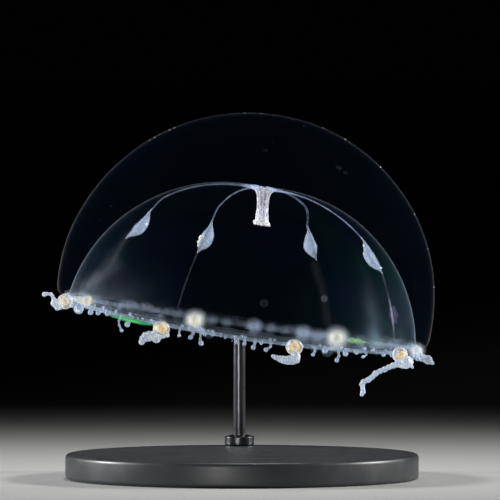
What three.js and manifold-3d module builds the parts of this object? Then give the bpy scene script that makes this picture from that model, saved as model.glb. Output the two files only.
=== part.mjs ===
// A small hydromedusa, a hemispherical jellyfish of the leptomedusa kind, on a display stand.
// Life size, in millimetres, +Z up. The origin is the centre of the base's underside; the
// viewer is at -Y and +X is to the viewer's right. The animal is built in a frame of its own,
// with the bell's axis along +Z and the margin's plane at z = 0, and is banked as one group.
import * as THREE from "three";
import { mergeVertices } from "three/addons/utils/BufferGeometryUtils.js";
import Module from "manifold-3d";

const wasm = await Module();
wasm.setup();

const { cos, sin, PI } = Math;
const radians = THREE.MathUtils.degToRad;

// ---- driving dimensions ----

// Bell: reach is the distance from the margin's centre, at an angle of elevation.
const MARGIN_RADIUS = 11.87; // outer surface, at the margin
const APEX_HEIGHT = 13.3; // outer surface, on the axis
const CAVITY_RADIUS = 11.05; // inner surface, at the margin
const CAVITY_HEIGHT = 8.62; // inner surface, on the axis
const CAVITY_SHOULDER = 0.64; // how soon the inner surface flattens towards the top
const RIM_BOTTOM = 0.1;
const RIM_TOP = 0.4; // where the rim's rounding ends
const BELL_SEGMENTS = 36;
const OUTER_STEPS = 13;
const INNER_STEPS = 11;

// Softness of the whole animal: the dome leans a little and the margin waves twice round.
const APEX_LEAN = 0.28;
const MARGIN_WAVE = 0.22;
const WAVE_FADE = 4;

// Clearance between neighbouring solids.
const GAP = 0.06;
const WALL_GAP = 0.1;

// Velum
const VELUM_OUTER = 10.96;
const VELUM_INNER = 8.4;
const VELUM_THICKNESS = 0.5;
const VELUM_SAG = 0.35;

// Margin: a cord that carries bulbs, tentacles and cirri. Angles start at +X and grow
// towards the viewer.
const CORD_RING = 11.4;
const CORD_RADIUS = 0.27;
const CORD_LEVEL = -0.25;
const BULB_RING = 11.56;
const BULB_RADIUS = 0.48;
const BULB_LEVEL = -0.46;
const BULB_ANGLES = [28.4, 73.5, 116.3, 168, 209.7, 255.1, 302, 349.6];

// Radial canals, each with one gonad.
const CANAL_ANGLES = [28, 112, 209, 298];
const CANAL_RADIUS = 0.25;
const CANAL_TOP = 84; // elevation where it leaves the manubrium's root
const CANAL_END = 2.4; // elevation where it meets the margin
const GONAD_HEIGHT = 5.18;
const GONAD_LENGTH = 2.3;
const GONAD_RADIUS = 0.46;

// Manubrium, which hangs plumb while the bell is banked.
const STALK_LENGTH = 2.5;
const ROOT_RADIUS = 0.86;
const NECK_RADIUS = 0.41;
const MOUTH_RADIUS = 0.56;
const MOUTH_SHARE = 0.2; // of the stalk's length

// Pose and stand
const BANK = radians(8.5);
const MARGIN_HEIGHT = 10; // the margin's centre, above the underside of the base
const SET_FORWARD = 1.6; // the margin's centre, in front of the base's centre
const BASE_RADIUS = 11.2;
const BASE_THICKNESS = 1.6;
const BASE_EDGE = 0.3;
const BASE_SEGMENTS = 40;
const ROD_RADIUS = 0.4;
const COLLAR_RADIUS = 0.95;
const COLLAR_HEIGHT = 0.7;
const CLIP_ANGLE = 269.7;
const CLIP_LENGTH = 1.7;
const CLIP_SLOT = 1.02;
const CLIP_WALL = 0.36;
const CLIP_FLOOR = 0.4;
const CLIP_BACK = 0.85; // height of the wall behind the rim

// ---- materials ----

function finish(color, roughness, metalness = 0, opacity = 1) {
  const transparent = opacity < 1;
  return new THREE.MeshStandardMaterial({ color, roughness, metalness, opacity, transparent });
}

const JELLY = finish(0xc9d6e2, 0.08, 0, 0.3);
const MEMBRANE = finish(0xb9cbdc, 0.2, 0, 0.4);
const CANAL = finish(0xc3d0e4, 0.35);
const GONAD = finish(0xc9d6ea, 0.4);
const STALK = finish(0xdfe6f2, 0.35);
const BULB = finish(0xf0e6c4, 0.45);
const TENTACLE = finish(0xd9e4ee, 0.5);
const BASE = finish(0x2a2c2f, 0.45, 0.6);
const STEEL = finish(0xb9bcc0, 0.3, 1);

// ---- shape helpers ----

// Where the surfaces lie: a point at a reach and an elevation, as radius and height.
const outerReach = (angle) =>
  MARGIN_RADIUS + (APEX_HEIGHT - MARGIN_RADIUS) * sin(angle);
const cavityReach = (angle) =>
  CAVITY_HEIGHT +
  (CAVITY_RADIUS - CAVITY_HEIGHT) * Math.max(0, 1 - sin(angle)) ** CAVITY_SHOULDER;
const meridian = (reach, angle) => new THREE.Vector2(reach * cos(angle), reach * sin(angle));

// A point of the animal's frame, from its angle round the axis, its radius and its height.
function around(degrees, radius, height) {
  const angle = radians(degrees);
  return new THREE.Vector3(radius * cos(angle), -radius * sin(angle), height);
}

// Gives a geometry of the animal its soft irregularity.
function soften(geometry) {
  const place = geometry.getAttribute("position");
  for (let i = 0; i < place.count; i += 1) {
    const [x, y, z] = [place.getX(i), place.getY(i), place.getZ(i)];
    const rise = Math.max(0, z);
    const saddle = (x * x - y * y) / MARGIN_RADIUS ** 2;
    place.setX(i, x + APEX_LEAN * (rise / APEX_HEIGHT) ** 2);
    place.setZ(i, z + MARGIN_WAVE * saddle * Math.exp(-rise / WAVE_FADE));
  }
  return geometry;
}

// A solid of revolution about Z, from a profile of radius and height.
function turned(profile, segments) {
  return new THREE.LatheGeometry(profile, segments).rotateX(PI / 2);
}

// A closed strand along a curve, from one share of its length to another. Its radius
// follows radiusAt, a function of the share.
function strand(curve, radiusAt, { from = 0, to = 1, steps = 6, sides = 8 } = {}) {
  const share = (t) => THREE.MathUtils.lerp(from, to, t);
  const profile = [new THREE.Vector2(0, 0)];
  for (let i = 0; i <= steps; i += 1) {
    profile.push(new THREE.Vector2(radiusAt(share(i / steps)), i / steps));
  }
  profile.push(new THREE.Vector2(0, 1));
  const geometry = new THREE.LatheGeometry(profile, sides);
  const fineness = 120;
  const { normals, binormals } = curve.computeFrenetFrames(fineness);
  const place = geometry.getAttribute("position");
  for (let i = 0; i < place.count; i += 1) {
    const along = share(place.getY(i));
    const frame = Math.round(along * fineness);
    const spot = curve
      .getPointAt(along)
      .addScaledVector(binormals[frame], place.getX(i))
      .addScaledVector(normals[frame], place.getZ(i));
    place.setXYZ(i, spot.x, spot.y, spot.z);
  }
  return geometry;
}

const smooth = (points) => new THREE.CatmullRomCurve3(points, false, "centripetal");

// A geometry as a manifold solid, and back.
function solid(geometry) {
  const bare = geometry.clone();
  bare.deleteAttribute("normal");
  bare.deleteAttribute("uv");
  const merged = mergeVertices(bare, 1e-3);
  return new wasm.Manifold(
    new wasm.Mesh({
      numProp: 3,
      vertProperties: merged.getAttribute("position").array,
      triVerts: new Uint32Array(merged.index.array),
    }),
  );
}

function geometryOf(body) {
  const mesh = body.getMesh();
  return new THREE.BufferGeometry()
    .setAttribute("position", new THREE.BufferAttribute(mesh.vertProperties, 3))
    .setIndex(new THREE.BufferAttribute(mesh.triVerts, 1));
}

function joined(geometries) {
  const [first, ...rest] = geometries.map(solid);
  return geometryOf(rest.reduce((body, next) => body.add(next), first));
}

// ---- the animal ----

const medusa = new THREE.Group();

function addPart(name, geometry, material) {
  const mesh = new THREE.Mesh(soften(geometry), material);
  mesh.name = name;
  medusa.add(mesh);
}

// The jelly: thick at the top, and thin where the outer and inner surfaces meet the rim.
function bell() {
  const profile = [];
  const lowest = Math.asin(RIM_TOP / MARGIN_RADIUS);
  for (let i = 0; i <= INNER_STEPS; i += 1) {
    const angle = THREE.MathUtils.lerp(PI / 2, lowest, i / INNER_STEPS);
    profile.push(meridian(cavityReach(angle), angle));
  }
  const inner = profile.at(-1).x;
  const outer = meridian(outerReach(lowest), lowest).x;
  const middle = (inner + outer) / 2;
  const half = (outer - inner) / 2;
  for (const turn of [50, 90, 130]) {
    const angle = radians(turn);
    const height = RIM_TOP - (RIM_TOP - RIM_BOTTOM) * sin(angle);
    profile.push(new THREE.Vector2(middle - half * cos(angle), height));
  }
  for (let i = 0; i <= OUTER_STEPS; i += 1) {
    const angle = THREE.MathUtils.lerp(lowest, PI / 2, i / OUTER_STEPS);
    profile.push(meridian(outerReach(angle), angle));
  }
  profile[0].x = 0;
  profile.at(-1).x = 0;
  return turned(profile, BELL_SEGMENTS);
}

// The veil across the bell's opening: a sagging ring that leaves a round way in.
function velum() {
  const half = VELUM_THICKNESS / 2;
  const width = VELUM_OUTER - VELUM_INNER;
  const steps = 2;
  const level = (share) => CORD_LEVEL - VELUM_SAG * sin((share * PI) / 2);
  const at = (share, side) =>
    new THREE.Vector2(VELUM_OUTER - share * width, level(share) + side * half);
  const profile = [];
  for (let i = 0; i <= steps; i += 1) profile.push(at(i / steps, 1));
  for (let i = steps; i >= 0; i -= 1) profile.push(at(i / steps, -1));
  profile.push(profile[0].clone());
  return turned(profile, BELL_SEGMENTS);
}

// The stalk's axis leans back by the bank, so that it hangs plumb.
const stalkTop = new THREE.Vector3(0, 0, CAVITY_HEIGHT - WALL_GAP);
const stalkFoot = new THREE.Vector3(sin(BANK), 0, -cos(BANK))
  .multiplyScalar(STALK_LENGTH)
  .add(stalkTop);
const stalkAxis = new THREE.LineCurve3(stalkTop, stalkFoot);

// A wide root runs into the neck, and the neck widens again towards the mouth.
function stalkRadius(share) {
  const root = (ROOT_RADIUS - NECK_RADIUS) * Math.exp(-share / 0.1);
  const mouth = (MOUTH_RADIUS - NECK_RADIUS) * Math.max(0, (share - 0.55) / 0.45) ** 1.5;
  return NECK_RADIUS + root + mouth;
}

function manubrium() {
  const to = 1 - MOUTH_SHARE - GAP / STALK_LENGTH;
  return strand(stalkAxis, stalkRadius, { to, steps: 8, sides: 10 });
}

// Four lips: the mouth's rim is lobed four times round, and hollowed from below.
function mouth() {
  const from = 1 - MOUTH_SHARE;
  const lobes = strand(stalkAxis, stalkRadius, { from, steps: 3, sides: 24 });
  const place = lobes.getAttribute("position");
  for (let i = 0; i < place.count; i += 1) {
    const drop = (stalkTop.z - place.getZ(i)) / (STALK_LENGTH * cos(BANK));
    const axis = stalkAxis.getPoint(drop);
    const [x, y] = [place.getX(i) - axis.x, place.getY(i) - axis.y];
    const flare = Math.max(0, (drop - from) / MOUTH_SHARE);
    const lobe = 1 + 0.16 * flare * cos(4 * (Math.atan2(y, x) + radians(CANAL_ANGLES[0])));
    place.setX(i, axis.x + x * lobe);
    place.setY(i, axis.y + y * lobe);
  }
  return lobes;
}

// The cavity's wall on one meridian, from the top down, held off by a share of the way in.
function wallCurve(degrees, standOff) {
  const points = [];
  const steps = 24;
  for (let i = 0; i <= steps; i += 1) {
    const angle = radians(THREE.MathUtils.lerp(CANAL_TOP, CANAL_END, i / steps));
    const spot = meridian(cavityReach(angle) - standOff, angle);
    points.push(around(degrees, spot.x, spot.y));
  }
  return smooth(points);
}

// The share of a wall curve's length at which it passes a height.
function shareAtHeight(curve, height) {
  let [low, high] = [0, 1];
  for (let i = 0; i < 20; i += 1) {
    const middle = (low + high) / 2;
    if (curve.getPointAt(middle).z > height) low = middle;
    else high = middle;
  }
  return low;
}

// A gonad is a spindle, fullest below its middle, and as slim as the canal at its ends.
function gonadRadius(share) {
  const swell = sin(PI * share ** 1.25) ** 1.3;
  return CANAL_RADIUS + (GONAD_RADIUS - CANAL_RADIUS) * swell;
}

function addCanal(number, degrees) {
  const curve = wallCurve(degrees, CANAL_RADIUS + WALL_GAP);
  const length = curve.getLength();
  const middle = shareAtHeight(curve, GONAD_HEIGHT);
  const half = GONAD_LENGTH / 2 / length;
  const gap = GAP / length;
  const [top, foot] = [middle - half, middle + half];
  const even = () => CANAL_RADIUS;
  const upper = strand(curve, even, { to: top - gap, steps: 7, sides: 6 });
  const lower = strand(curve, even, { from: foot + gap, steps: 6, sides: 6 });
  const bulgeCurve = wallCurve(degrees, GONAD_RADIUS + WALL_GAP);
  const bulge = (share) => gonadRadius((share - top) / (foot - top));
  const gonad = strand(bulgeCurve, bulge, { from: top, to: foot, steps: 8, sides: 8 });
  addPart(`canal_${number}_upper`, upper, CANAL);
  addPart(`gonad_${number}`, gonad, GONAD);
  addPart(`canal_${number}_lower`, lower, CANAL);
}

// ---- the margin ----

const bulbCentre = (index) => around(BULB_ANGLES[index], BULB_RING, BULB_LEVEL);

function bulb(index) {
  const { x, y, z } = bulbCentre(index);
  return new THREE.SphereGeometry(BULB_RADIUS, 10, 7).translate(x, y, z);
}

// Cirri and young bulbs between one bulb and the next: each is an angle, a length down
// from the cord, a thickness and a swing along the margin.
const CIRRI = [
  [
    [38.4, 0.3, 0.5, 0],
    [46.5, 0.5, 0.5, 0.1],
    [50.7, 0.25, 0.5, 0],
    [54.9, 0.35, 0.6, 0],
    [57.8, 0.85, 0.5, 0.05],
    [62.5, 0.3, 0.6, 0],
    [65.6, 0.6, 0.5, -0.15],
  ],
  [
    [80.6, 0.65, 0.5, 0.1],
    [85.4, 0.65, 0.55, 0],
    [88.8, 0.45, 0.5, 0],
    [91.8, 0.45, 0.5, 0],
    [95, 0.25, 0.5, 0],
    [98.8, 0.4, 0.6, 0],
    [103.6, 0.8, 0.6, -0.2],
    [109.2, 0.65, 0.5, 0],
  ],
  [
    [126.5, 0.6, 0.55, 0.15],
    [131.2, 1.0, 0.5, -0.15],
    [137, 0.25, 0.6, 0],
    [141.5, 0.35, 0.5, 0],
    [145.5, 0.4, 0.6, 0],
    [153.5, 0.4, 0.85, 0.1],
  ],
  [
    [178.5, 0.6, 0.6, 0],
    [189, 0.4, 0.5, 0.1],
    [199.5, 0.5, 0.6, 0],
  ],
  [
    [218, 0.5, 0.5, 0],
    [226, 0.3, 0.6, 0.1],
    [234.5, 0.6, 0.5, -0.1],
    [243, 0.35, 0.55, 0],
  ],
  [
    [262.7, 0.3, 0.7, 0],
    [276.7, 0.3, 0.8, 0],
    [283.5, 0.25, 0.7, 0],
    [289.4, 0.25, 0.8, 0],
    [295, 0.35, 0.6, 0],
  ],
  [
    [311, 0.35, 0.5, 0],
    [319, 0.5, 0.6, 0.1],
    [327.5, 0.3, 0.5, 0],
    [337, 0.5, 0.55, -0.1],
  ],
  [
    [360.5, 0.4, 0.6, 0],
    [370, 0.5, 0.5, 0.1],
    [379, 0.4, 0.6, 0],
  ],
];

function cirrus([degrees, length, thickness, swing]) {
  const tip = degrees + THREE.MathUtils.radToDeg(swing / CORD_RING);
  const curve = smooth([
    around(degrees, CORD_RING, CORD_LEVEL),
    around(degrees, CORD_RING + 0.08, CORD_LEVEL - length / 2),
    around(tip, CORD_RING + 0.05, CORD_LEVEL - length),
  ]);
  const club = (share) => (thickness / 2) * (0.85 + 0.15 * sin(PI * share));
  return strand(curve, club, { steps: 2, sides: 5 });
}

function addCord(index) {
  const clear = THREE.MathUtils.radToDeg((BULB_RADIUS + GAP) / BULB_RING);
  const start = BULB_ANGLES[index] + clear;
  const last = index === BULB_ANGLES.length - 1;
  const end = (last ? BULB_ANGLES[0] + 360 : BULB_ANGLES[index + 1]) - clear;
  const points = [];
  const steps = 6;
  for (let i = 0; i <= steps; i += 1) {
    const degrees = THREE.MathUtils.lerp(start, end, i / steps);
    points.push(around(degrees, CORD_RING, CORD_LEVEL));
  }
  const cord = strand(smooth(points), () => CORD_RADIUS, { steps, sides: 6 });
  const geometry = joined([cord, ...CIRRI[index].map(cirrus)]);
  addPart(`margin_${index + 1}`, geometry, TENTACLE);
}

// ---- the tentacles ----

// Each route leaves its bulb straight towards its first point. Points are the way right,
// back and up from the bulb's centre; the radii are at the bulb and at the tip.
const TENTACLES = [
  {
    points: [
      [-0.02, -0.32, -0.64],
      [-0.46, -0.5, -0.88],
      [-0.97, -0.7, -1.2],
      [-1.5, -0.9, -1.6],
      [-1.84, -1.05, -1.9],
      [-2.12, -1.1, -2.2],
      [-2.17, -1.15, -2.54],
      [-2.1, -1.2, -2.86],
    ],
    radii: [0.3, 0.24],
    lengths: ["_root", "_middle", "_tip"],
  },
  {
    points: [
      [0.26, -0.2, -0.76],
      [-0.1, -0.15, -1.06],
      [-0.62, -0.1, -1.08],
      [-1.2, 0, -0.94],
    ],
    radii: [0.27, 0.3],
  },
  {
    points: [
      [-0.38, -0.26, -0.58],
      [-0.82, -0.25, -0.76],
      [-1.12, -0.2, -1.1],
    ],
    radii: [0.32, 0.24],
  },
  {
    points: [
      [-0.64, -0.2, -0.24],
      [-1, -0.2, -0.12],
      [-1.32, -0.1, 0.06],
    ],
    radii: [0.36, 0.22],
  },
  {
    points: [
      [-0.75, 0.2, -0.05],
      [-1.05, 0.3, -0.1],
    ],
    radii: [0.3, 0.3],
  },
  {
    points: [
      [0.36, 0.42, -0.56],
      [0.78, 0.6, -0.8],
    ],
    radii: [0.3, 0.26],
  },
  {
    points: [
      [0.02, 0.5, -0.52],
      [-0.18, 0.82, -0.74],
    ],
    radii: [0.3, 0.25],
  },
  {
    points: [
      [0.68, 0.18, -0.36],
      [1.04, 0.25, -0.55],
    ],
    radii: [0.36, 0.24],
  },
];

function addTentacle(index) {
  const { points, radii, lengths = [""] } = TENTACLES[index];
  const route = points.map((point) => new THREE.Vector3(...point));
  route.unshift(route[0].clone().setLength(BULB_RADIUS + GAP));
  const root = bulbCentre(index);
  const curve = smooth(route.map((point) => point.add(root)));
  const radiusAt = (share) => THREE.MathUtils.lerp(...radii, share);
  const gap = GAP / curve.getLength();
  lengths.forEach((length, i) => {
    const from = i / lengths.length;
    const isLast = i === lengths.length - 1;
    const to = (i + 1) / lengths.length - (isLast ? 0 : gap);
    const piece = strand(curve, radiusAt, { from, to, steps: 6, sides: 8 });
    addPart(`tentacle_${index + 1}${length}`, piece, TENTACLE);
  });
}

// ---- the stand ----

const stand = new THREE.Group();

function addStandPart(name, geometry, material) {
  const mesh = new THREE.Mesh(geometry, material);
  mesh.name = name;
  stand.add(mesh);
  return mesh;
}

// A flat disc with small chamfers.
function base() {
  const rim = BASE_RADIUS - BASE_EDGE;
  const profile = [
    [0, 0],
    [rim, 0],
    [BASE_RADIUS, BASE_EDGE / 2],
    [BASE_RADIUS, BASE_THICKNESS - BASE_EDGE],
    [rim, BASE_THICKNESS],
    [0, BASE_THICKNESS],
  ];
  return turned(profile.map(([x, y]) => new THREE.Vector2(x, y)), BASE_SEGMENTS);
}

function upright(radius, low, high, sides) {
  return new THREE.CylinderGeometry(radius, radius, high - low, sides)
    .rotateX(PI / 2)
    .translate(0, 0, (low + high) / 2);
}

// An angle along X that holds the rim: a seat below it and a wall behind it.
function clip() {
  const half = CLIP_SLOT / 2;
  const outline = [
    [-half, -CLIP_FLOOR],
    [half + CLIP_WALL, -CLIP_FLOOR],
    [half + CLIP_WALL, CLIP_BACK],
    [half, CLIP_BACK],
    [half, 0],
    [-half, 0],
  ];
  const shape = new THREE.Shape(outline.map(([x, y]) => new THREE.Vector2(x, y)));
  return new THREE.ExtrudeGeometry(shape, { depth: CLIP_LENGTH, bevelEnabled: false })
    .translate(0, 0, -CLIP_LENGTH / 2)
    .rotateX(PI / 2)
    .rotateZ(PI / 2);
}

// ---- assembly ----

addPart("bell", bell(), JELLY);
addPart("velum", velum(), MEMBRANE);
addPart("manubrium", manubrium(), STALK);
addPart("mouth", mouth(), STALK);
CANAL_ANGLES.forEach((degrees, index) => addCanal(index + 1, degrees));
BULB_ANGLES.forEach((_, index) => {
  addPart(`bulb_${index + 1}`, bulb(index), BULB);
  addCord(index);
  addTentacle(index);
});
medusa.rotation.y = BANK;
medusa.position.set(0, -SET_FORWARD, MARGIN_HEIGHT);
medusa.updateMatrixWorld(true);

// The clip sits under the far side of the rim, square to the banked margin; its floor is
// just below the cord.
const clipPoint = around(CLIP_ANGLE, CORD_RING, CORD_LEVEL - CORD_RADIUS - GAP - MARGIN_WAVE);
medusa.localToWorld(clipPoint);
const clipMesh = addStandPart("stand_clip", clip(), STEEL);
clipMesh.position.copy(clipPoint);
clipMesh.rotation.y = BANK;

const footing = new THREE.Vector2(clipPoint.x, clipPoint.y);
const rodTop = clipPoint.z - CLIP_FLOOR - GAP - ROD_RADIUS * Math.tan(BANK);
const place = (geometry) => geometry.translate(footing.x, footing.y, 0);
const collar = solid(upright(COLLAR_RADIUS, BASE_THICKNESS + GAP, BASE_THICKNESS + COLLAR_HEIGHT, 20))
  .subtract(solid(upright(ROD_RADIUS + GAP, 0, MARGIN_HEIGHT, 16)));
addStandPart("stand_base", base(), BASE);
addStandPart("stand_collar", place(geometryOf(collar)), STEEL);
addStandPart("stand_rod", place(upright(ROD_RADIUS, BASE_THICKNESS + GAP, rodTop, 16)), STEEL);

const model = new THREE.Group();
model.add(medusa, stand);

export default model;
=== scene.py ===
"""The finish of a small hydromedusa and its display stand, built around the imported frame.

The animal is shaped in millimetres in its own frame: the bell's axis is +Z, the margin's
plane is z = 0, and angles round the axis start at +X and grow towards the viewer, at -Y.
POSE banks the animal, sets it over its stand and turns millimetres into metres.
"""

import random
from math import asin, atan2, cos, degrees, exp, hypot, pi, radians, sin

import bmesh
import bpy
import numpy as np
from mathutils import Matrix, Vector, kdtree, noise


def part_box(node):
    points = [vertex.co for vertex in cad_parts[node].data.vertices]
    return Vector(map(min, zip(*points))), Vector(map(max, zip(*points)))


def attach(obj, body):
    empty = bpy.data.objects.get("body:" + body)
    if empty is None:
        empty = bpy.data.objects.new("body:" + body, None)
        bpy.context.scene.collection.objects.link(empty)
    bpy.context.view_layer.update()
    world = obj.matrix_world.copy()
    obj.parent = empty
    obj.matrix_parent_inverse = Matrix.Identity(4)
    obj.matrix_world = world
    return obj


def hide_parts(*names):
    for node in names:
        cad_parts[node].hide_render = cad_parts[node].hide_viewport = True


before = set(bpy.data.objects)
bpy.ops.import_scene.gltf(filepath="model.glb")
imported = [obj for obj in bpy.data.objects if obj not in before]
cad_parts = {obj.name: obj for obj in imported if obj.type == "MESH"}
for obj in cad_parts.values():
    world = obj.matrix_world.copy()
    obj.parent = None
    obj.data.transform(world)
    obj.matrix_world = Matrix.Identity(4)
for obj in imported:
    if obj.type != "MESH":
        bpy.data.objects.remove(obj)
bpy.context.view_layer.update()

MM = 0.001

# ---- sizes in millimetres, as in the part's source ----

MARGIN_RADIUS = 11.87
APEX_HEIGHT = 13.3
CAVITY_RADIUS = 11.05
CAVITY_HEIGHT = 8.62
CAVITY_SHOULDER = 0.64
RIM_TOP = 0.4

APEX_LEAN = 0.28
MARGIN_WAVE = 0.22
WAVE_FADE = 4

VELUM_OUTER = 10.96
VELUM_INNER = 8.4
VELUM_SAG = 0.35

CORD_RING = 11.4
CORD_LEVEL = -0.25
BULB_RING = 11.56
BULB_RADIUS = 0.48
BULB_LEVEL = -0.46
BULB_ANGLES = [28.4, 73.5, 116.3, 168, 209.7, 255.1, 302, 349.6]
CANAL_ANGLES = [28, 112, 209, 298]

GONAD_HEIGHT = 5.18
GONAD_LENGTH = 2.3
STALK_LENGTH = 2.5
ROOT_RADIUS = 0.86
NECK_RADIUS = 0.41
MOUTH_RADIUS = 0.56

BANK = radians(8.5)
MARGIN_HEIGHT = 10
SET_FORWARD = 1.6
POSE = (
    Matrix.Translation(Vector((0, -SET_FORWARD, MARGIN_HEIGHT)) * MM)
    @ Matrix.Rotation(BANK, 4, "Y")
    @ Matrix.Scale(MM, 4)
)

# ---- where the surfaces lie ----


def outer_reach(angle):
    """How far the bell's outer surface is from the margin's centre, at an elevation."""
    return MARGIN_RADIUS + (APEX_HEIGHT - MARGIN_RADIUS) * sin(angle)


def cavity_reach(angle):
    """The same for the cavity's wall."""
    flat = max(0, 1 - sin(angle)) ** CAVITY_SHOULDER
    return CAVITY_HEIGHT + (CAVITY_RADIUS - CAVITY_HEIGHT) * flat


def around(turn, radius, height):
    """A point from its angle round the axis in degrees, its radius and its height."""
    angle = radians(turn)
    return Vector((radius * cos(angle), -radius * sin(angle), height))


def soften(point):
    """The point moved by the animal's soft irregularity, as in the part's source."""
    x, y, z = point
    rise = max(0, z)
    saddle = (x**2 - y**2) / MARGIN_RADIUS**2
    x += APEX_LEAN * (rise / APEX_HEIGHT) ** 2
    return Vector((x, y, z + MARGIN_WAVE * saddle * exp(-rise / WAVE_FADE)))


def inside(surface, turn, elevation, depth):
    """A point a little way inside one of the two surfaces."""
    angle = radians(elevation)
    reach = surface(angle) - depth
    return soften(around(turn, reach * cos(angle), reach * sin(angle)))


def on_wall(turn, elevation, stand_off):
    """A point in the cavity, a little way off its wall."""
    return inside(cavity_reach, turn, elevation, stand_off)


def on_cord(turn, level, away=0):
    """A point at the margin's cord, or a little way outside it."""
    return soften(around(turn, CORD_RING + away, level))


def turn_of(point):
    return degrees(atan2(-point.y, point.x)) % 360


def lerp(a, b, t):
    return a + (b - a) * t


def blend(a, b, t):
    return tuple(lerp(x, y, t) for x, y in zip(a, b))


def hump(x, middle, width):
    """1 at the middle, falling softly to 0 at both sides."""
    return exp(-(((x - middle) / width) ** 2))


def spot_share(turn, middle, width):
    """The same for angles round the axis."""
    return hump((turn - middle + 180) % 360 - 180, 0, width)


def waves(point, scale, seed=0):
    """Smooth noise between about -1 and 1, with features about scale millimetres wide."""
    return noise.noise(point / scale + Vector((seed, seed * 1.7, -seed)))


# ---- objects and attributes ----


def link(name, mesh):
    obj = bpy.data.objects.new(name, mesh)
    bpy.context.scene.collection.objects.link(obj)
    return obj


def new_mesh(name, points, faces):
    mesh = bpy.data.meshes.new(name)
    mesh.from_pydata(points, [], faces)
    mesh.update()
    return mesh


def weld(mesh, distance, edge=0):
    """Merges the points that lie on top of each other, faces outwards and bevels edges."""
    bm = bmesh.new()
    bm.from_mesh(mesh)
    bmesh.ops.remove_doubles(bm, verts=bm.verts, dist=distance)
    bmesh.ops.recalc_face_normals(bm, faces=bm.faces)
    if edge:
        bmesh.ops.bevel(bm, geom=bm.edges, offset=edge, segments=2, affect="EDGES")
    bm.to_mesh(mesh)
    bm.free()
    return mesh


def store(mesh, name, values):
    """Stores a number or a colour for each point."""
    values = np.array(values, dtype=np.float32)
    kind, field = ("FLOAT", "value") if values.ndim == 1 else ("FLOAT_COLOR", "color")
    mesh.attributes.new(name, kind, "POINT").data.foreach_set(field, values.ravel())


def paint_points(mesh, paints):
    """Stores a paint for each point: red, green, blue and density, and then its edge."""
    paints = np.array(paints)
    store(mesh, "paint", paints[:, :4])
    store(mesh, "edge", paints[:, 4])


def grid_faces(rows, columns):
    """Quads of a grid that closes on itself across its columns."""
    faces = []
    for r in range(rows - 1):
        for c in range(columns):
            a, b = r * columns + c, r * columns + (c + 1) % columns
            faces.append((a, b, b + columns, a + columns))
    return faces


def finish_piece(obj, material, nodes):
    """Gives a piece its material and smooth faces, sets it on the root body and hides the nodes it
    stands for.
    """
    obj.data.materials.append(material)
    for face in obj.data.polygons:
        face.use_smooth = True
    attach(obj, "root")
    if nodes:
        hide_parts(*nodes)


def finish_animal(mesh, material, nodes):
    """The same for a piece of the animal, from a mesh in the animal's own frame."""
    mesh.transform(POSE)
    finish_piece(link(mesh.name, mesh), material, nodes)


# ---- materials ----

JELLY_IOR = 1.35


class Nodes:
    """A short way to write a material's node tree."""

    def __init__(self, name):
        self.material = bpy.data.materials.new(name)
        self.material.use_nodes = True
        self.tree = self.material.node_tree
        self.tree.nodes.clear()
        self.output = self.add("OutputMaterial")

    def add(self, kind, settings=None, numbered=None, **named):
        """A node, with inputs by number and by name; an input of None is left alone."""
        node = self.tree.nodes.new("ShaderNode" + kind)
        for key, value in (settings or {}).items():
            setattr(node, key, value)
        sockets = {s.name.lower().replace(" ", "_"): s for s in reversed(node.inputs)}
        inputs = [(node.inputs[i], value) for i, value in (numbered or {}).items()]
        inputs += [(sockets[key.lower()], value) for key, value in named.items()]
        for socket, value in inputs:
            if isinstance(value, bpy.types.NodeSocket):
                self.tree.links.new(value, socket)
            elif value is not None:
                socket.default_value = value
        return node

    def math(self, operation, *values, clamp=False):
        settings = {"operation": operation, "use_clamp": clamp}
        return self.add("Math", settings, dict(enumerate(values))).outputs[0]

    def noise(self, scale, detail=3, roughness=0.5):
        place = self.add("TexCoord").outputs["Object"]
        inputs = {"Vector": place, "Scale": scale, "Detail": detail, "Roughness": roughness}
        return self.add("TexNoise", **inputs).outputs["Fac"]

    def bump(self, height, strength, distance):
        node = self.add("Bump", Height=height, Strength=strength, Distance=distance)
        return node.outputs["Normal"]

    def mix_colour(self, share, a, b, blend="MIX"):
        settings = {"data_type": "RGBA", "blend_type": blend}
        return self.add("Mix", settings, {0: share, 6: a, 7: b}).outputs[2]

    def mix_shader(self, share, a, b):
        inputs = {0: share, 1: a.outputs[0], 2: b.outputs[0]}
        return self.add("MixShader", None, inputs)

    def attribute(self, name):
        return self.add("Attribute", {"attribute_name": name}).outputs

    def facing(self):
        """From 0, where a surface faces the viewer, to 1, where it is seen edge on."""
        return self.add("LayerWeight", Blend=0.5).outputs["Facing"]

    def surface(self, shader):
        self.tree.links.new(shader.outputs[0], self.output.inputs["Surface"])
        return self.material


def painted(n, grain=None):
    """The colour, density and edge painted on a mesh, with a grain's tone and bump."""
    paint, edge = n.attribute("paint"), n.attribute("edge")["Fac"]
    colour, normal = paint["Color"], None
    if grain:
        scale, strength, distance = grain
        fine = n.noise(scale, 4, 0.65)
        normal = n.bump(fine, strength, distance)
        shade = n.math("MULTIPLY_ADD", fine, 0.3, 0.85)
        colour = n.mix_colour(1, colour, shade, "MULTIPLY")
    return colour, paint["Alpha"], edge, normal


def see_through(n, colour, normal, opacity, roughness, specular, glow):
    """A surface that shows by its opacity; glow is the share of light it lets through."""
    look = {"Base_Color": colour, "Roughness": roughness, "Specular_IOR_Level": specular}
    body = n.add("BsdfPrincipled", IOR=JELLY_IOR, Normal=normal, **look)
    through = n.add("BsdfTranslucent", Color=colour, Normal=normal)
    clear = n.add("BsdfTransparent")
    return n.surface(n.mix_shader(opacity, clear, n.mix_shader(glow, body, through)))


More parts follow.
